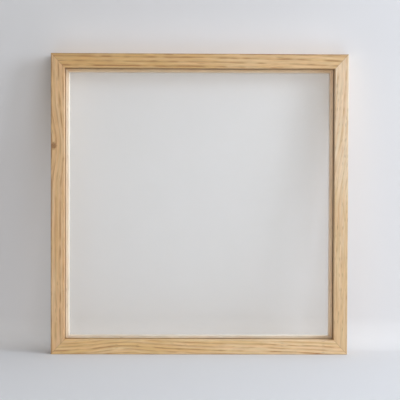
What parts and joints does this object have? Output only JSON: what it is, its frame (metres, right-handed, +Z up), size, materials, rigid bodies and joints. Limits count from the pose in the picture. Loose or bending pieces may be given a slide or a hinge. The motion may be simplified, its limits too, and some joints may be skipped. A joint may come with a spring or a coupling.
{
  "type": "screen printing frame",
  "caption": "Square mitred wooden frame with inner liner strips and a fine mesh stretched across its back, for pulling ink through a stencil.",
  "frame": {"origin": "bottom centre of the whole frame, on the surface it stands on", "axes": "+X to the right seen from the squeegee side, +Y out of the print side where the mesh is, +Z up"},
  "size_m": [0.502, 0.0304, 0.508],
  "materials": {
    "member_wood": "bare sanded pale softwood, satin",
    "liner_wood": "bare planed strip, paler than the members, satin",
    "spline_wood": "raw sawn hardwood",
    "mesh_cloth": "fine white plain-weave monofilament, taut and translucent",
    "retaining_cord": "braided off-white synthetic cord",
    "fastener_steel": "plain bright steel"
  },
  "bodies": {
    "root": {"top_rail": "member_wood", "bottom_rail": "member_wood", "left_stile": "member_wood", "right_stile": "member_wood", "top_liner": "liner_wood", "bottom_liner": "liner_wood", "left_liner": "liner_wood", "right_liner": "liner_wood", "top_left_spline": "spline_wood", "top_right_spline": "spline_wood", "bottom_left_spline": "spline_wood", "bottom_right_spline": "spline_wood", "mesh": "mesh_cloth", "top_cord": "retaining_cord", "bottom_cord": "retaining_cord", "left_cord": "retaining_cord", "right_cord": "retaining_cord", "corner_nails": "fastener_steel", "liner_brads": "fastener_steel"}
  },
  "joints": []
}
